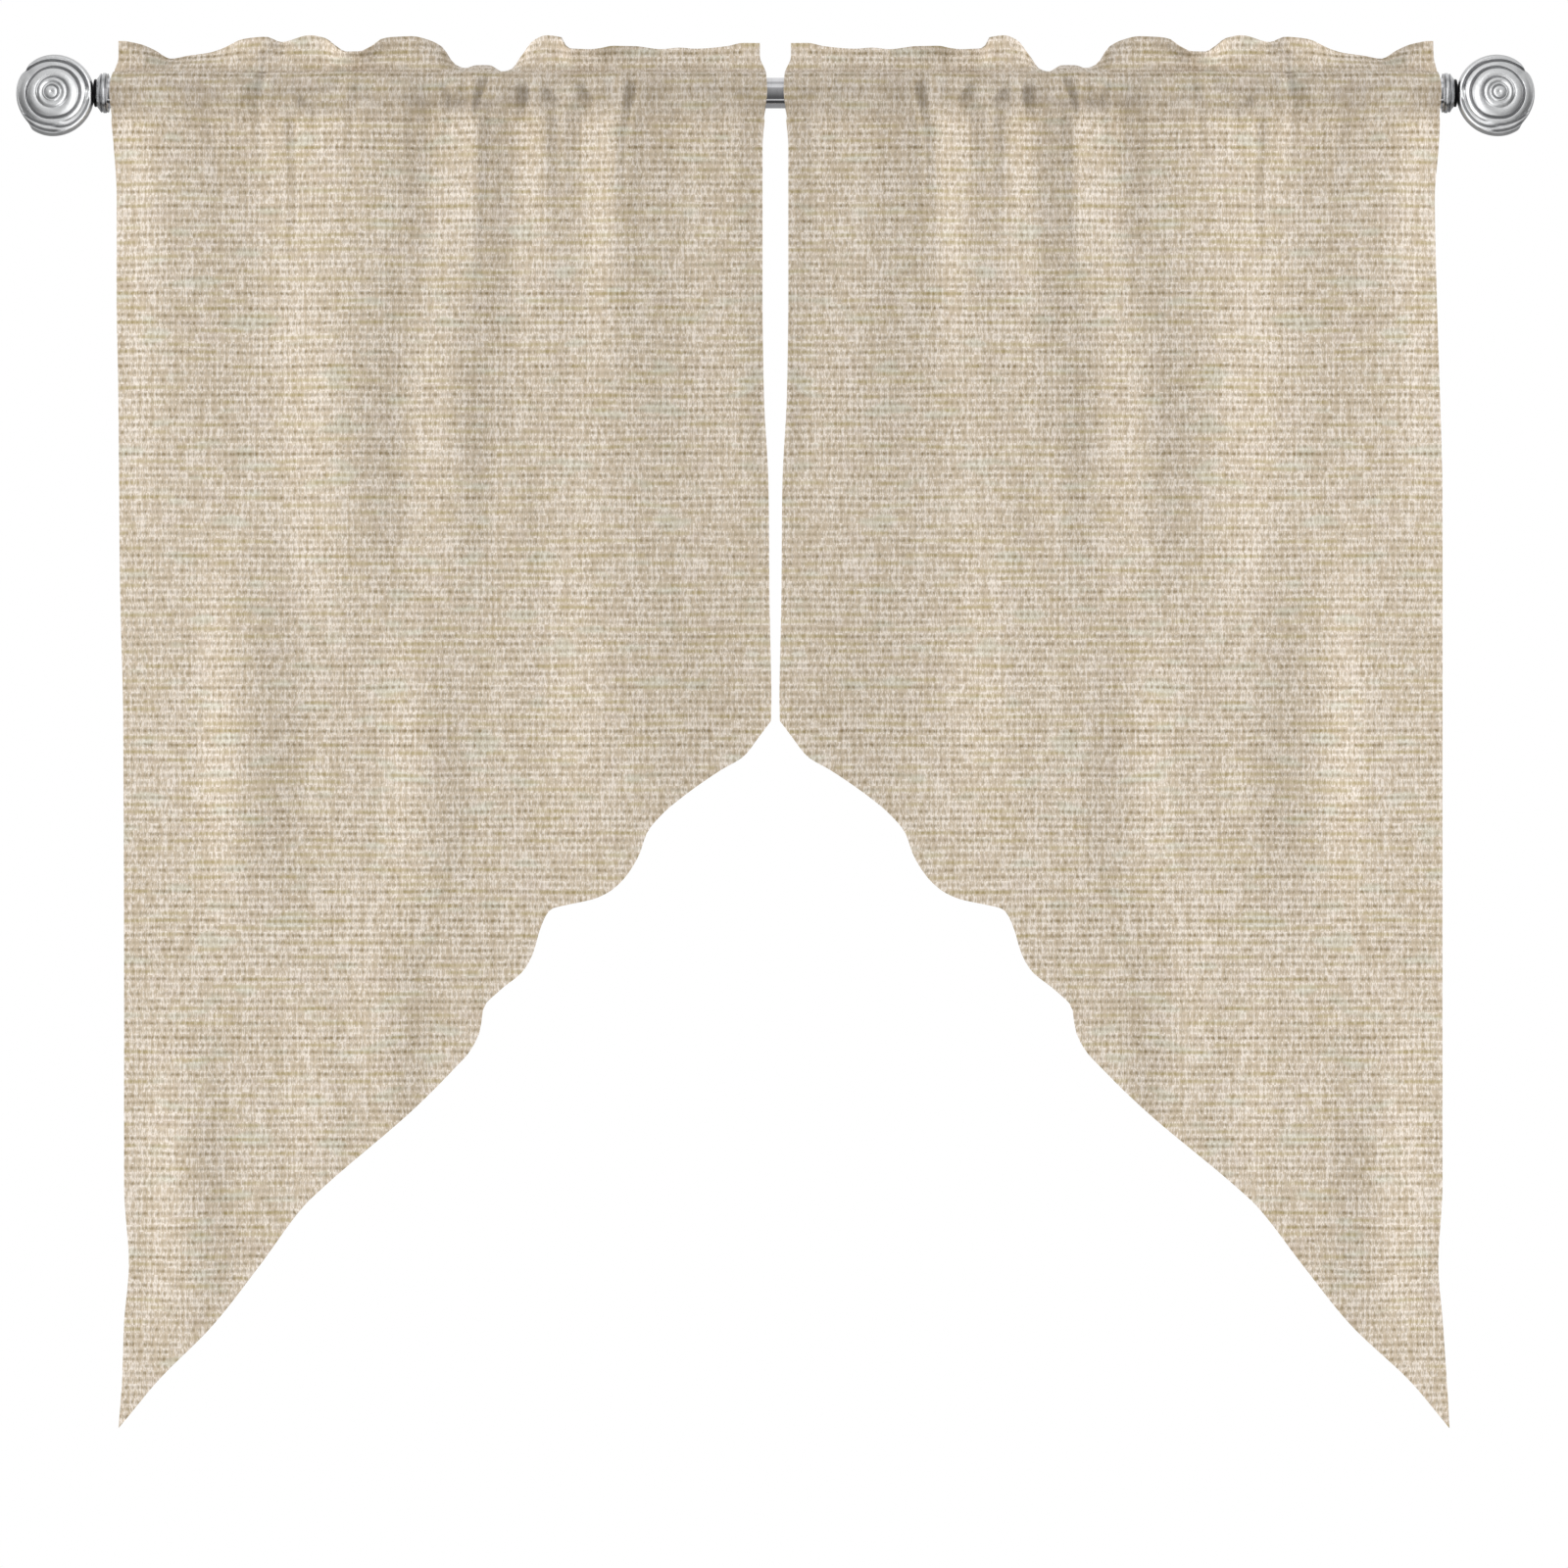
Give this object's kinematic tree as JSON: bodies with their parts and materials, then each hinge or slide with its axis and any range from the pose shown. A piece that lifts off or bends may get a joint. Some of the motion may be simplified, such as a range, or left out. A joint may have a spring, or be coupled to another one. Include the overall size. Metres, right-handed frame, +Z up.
{
  "type": "swag valance pair on curtain rod",
  "caption": "Pair of rod-pocket swag valance panels with ruffled headers and scalloped, slanting hems, hung on a round rod with turned collars and spiral disc finials.",
  "frame": {"origin": "on the rod's axis, midway between the two finials", "axes": "+X along the rod to the viewer's right, +Y away from the viewer toward the wall, +Z up; the front faces -Y"},
  "size_m": [0.999, 0.0319, 0.9151],
  "materials": {
    "cloth": "coarse linen-look plain weave, matt, beige with cream and straw threads",
    "rod": "polished",
    "collar": "satin nickel",
    "finial": "satin nickel"
  },
  "bodies": {
    "root": {"panel_left": "cloth", "panel_right": "cloth", "rod": "rod", "collar_left": "collar", "collar_right": "collar", "finial_left": "finial", "finial_right": "finial"}
  },
  "joints": []
}
